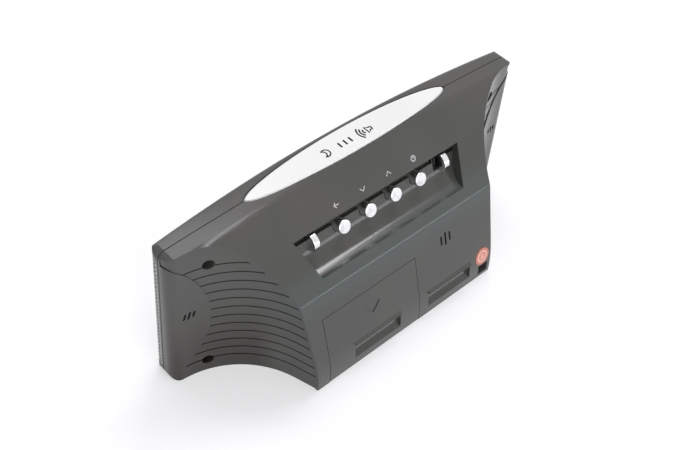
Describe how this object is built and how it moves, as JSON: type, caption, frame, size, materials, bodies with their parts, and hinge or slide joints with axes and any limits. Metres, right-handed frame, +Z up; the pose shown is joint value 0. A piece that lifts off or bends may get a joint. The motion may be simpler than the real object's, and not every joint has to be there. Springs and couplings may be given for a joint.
{
  "type": "talking table clock",
  "caption": "Wide table clock that speaks the time: grooved concave flanks, snooze bar on top, key channel in the sloping back, battery door and power socket below.",
  "frame": {"origin": "middle of the bounding box at the table", "axes": "+X along the width, +Y towards the sloping back, +Z up; the display faces -Y"},
  "size_m": [0.2, 0.0588, 0.0813],
  "materials": {
    "casing_plastic": "gunmetal, glossy moulded",
    "snooze_plastic": "white, glossy moulded",
    "key_chrome": "polished, bright",
    "grille_metal": "black, perforated",
    "window_clear": "smoked, polished",
    "display_glass": "polished",
    "digit_film": "matt",
    "light_guide": "matt white",
    "black_plastic": "matt",
    "board_laminate": "green solder mask",
    "basket_steel": "plated",
    "cone_film": "matt film",
    "magnet_iron": "sintered",
    "cell_jacket": "wrapped",
    "contact_metal": "nickel plated",
    "screw_steel": "zinc plated",
    "sticker_film": "printed film"
  },
  "bodies": {
    "casing": {"front_housing": "casing_plastic", "rear_housing": "casing_plastic", "left_grille": "grille_metal", "right_grille": "grille_metal", "display_window": "window_clear", "display_glass": "display_glass", "display_digits": "digit_film", "backlight_panel": "light_guide", "display_frame": "black_plastic", "main_board": "board_laminate", "key_board": "board_laminate", "snooze_board": "board_laminate", "voice_chip": "black_plastic", "speaker_frame": "basket_steel", "speaker_cone": "cone_film", "speaker_magnet": "magnet_iron", "key_switches": "black_plastic", "snooze_switches": "black_plastic", "slide_switch_bodies": "black_plastic", "battery_cells": "cell_jacket", "battery_springs": "contact_metal", "battery_contacts": "contact_metal", "power_jack": "black_plastic", "jack_pin": "contact_metal", "housing_screws": "screw_steel", "board_screws": "screw_steel", "round_sticker": "sticker_film"},
    "snooze": {"snooze_bar": "snooze_plastic"},
    "back_key": {"back_button": "key_chrome"},
    "down_key": {"down_button": "key_chrome"},
    "up_key": {"up_button": "key_chrome"},
    "set_key": {"set_button": "key_chrome"},
    "left_knob": {"left_slide_knob": "key_chrome"},
    "right_knob": {"right_slide_knob": "key_chrome"},
    "door": {"battery_door": "casing_plastic"}
  },
  "joints": [
    {"name": "snooze_press", "type": "slide", "parent": "casing", "child": "snooze", "axis": [0, 0, -1], "range_m": [0, 0.0012], "stiffness_N_per_m": 600, "springref_m": -0.001},
    {"name": "back_press", "type": "slide", "parent": "casing", "child": "back_key", "axis": [0, -0.9063, -0.4226], "range_m": [0, 0.0008], "stiffness_N_per_m": 500, "springref_m": -0.0006},
    {"name": "down_press", "type": "slide", "parent": "casing", "child": "down_key", "axis": [0, -0.9063, -0.4226], "range_m": [0, 0.0008], "stiffness_N_per_m": 500, "springref_m": -0.0006},
    {"name": "up_press", "type": "slide", "parent": "casing", "child": "up_key", "axis": [0, -0.9063, -0.4226], "range_m": [0, 0.0008], "stiffness_N_per_m": 500, "springref_m": -0.0006},
    {"name": "set_press", "type": "slide", "parent": "casing", "child": "set_key", "axis": [0, -0.9063, -0.4226], "range_m": [0, 0.0008], "stiffness_N_per_m": 500, "springref_m": -0.0006},
    {"name": "left_slide", "type": "slide", "parent": "casing", "child": "left_knob", "axis": [-1, 0, 0], "range_m": [0, 0.003]},
    {"name": "right_slide", "type": "slide", "parent": "casing", "child": "right_knob", "axis": [1, 0, 0], "range_m": [0, 0.003]},
    {"name": "door_lift", "type": "slide", "parent": "casing", "child": "door", "axis": [0, 1, 0], "range_m": [0, 0.015]}
  ]
}
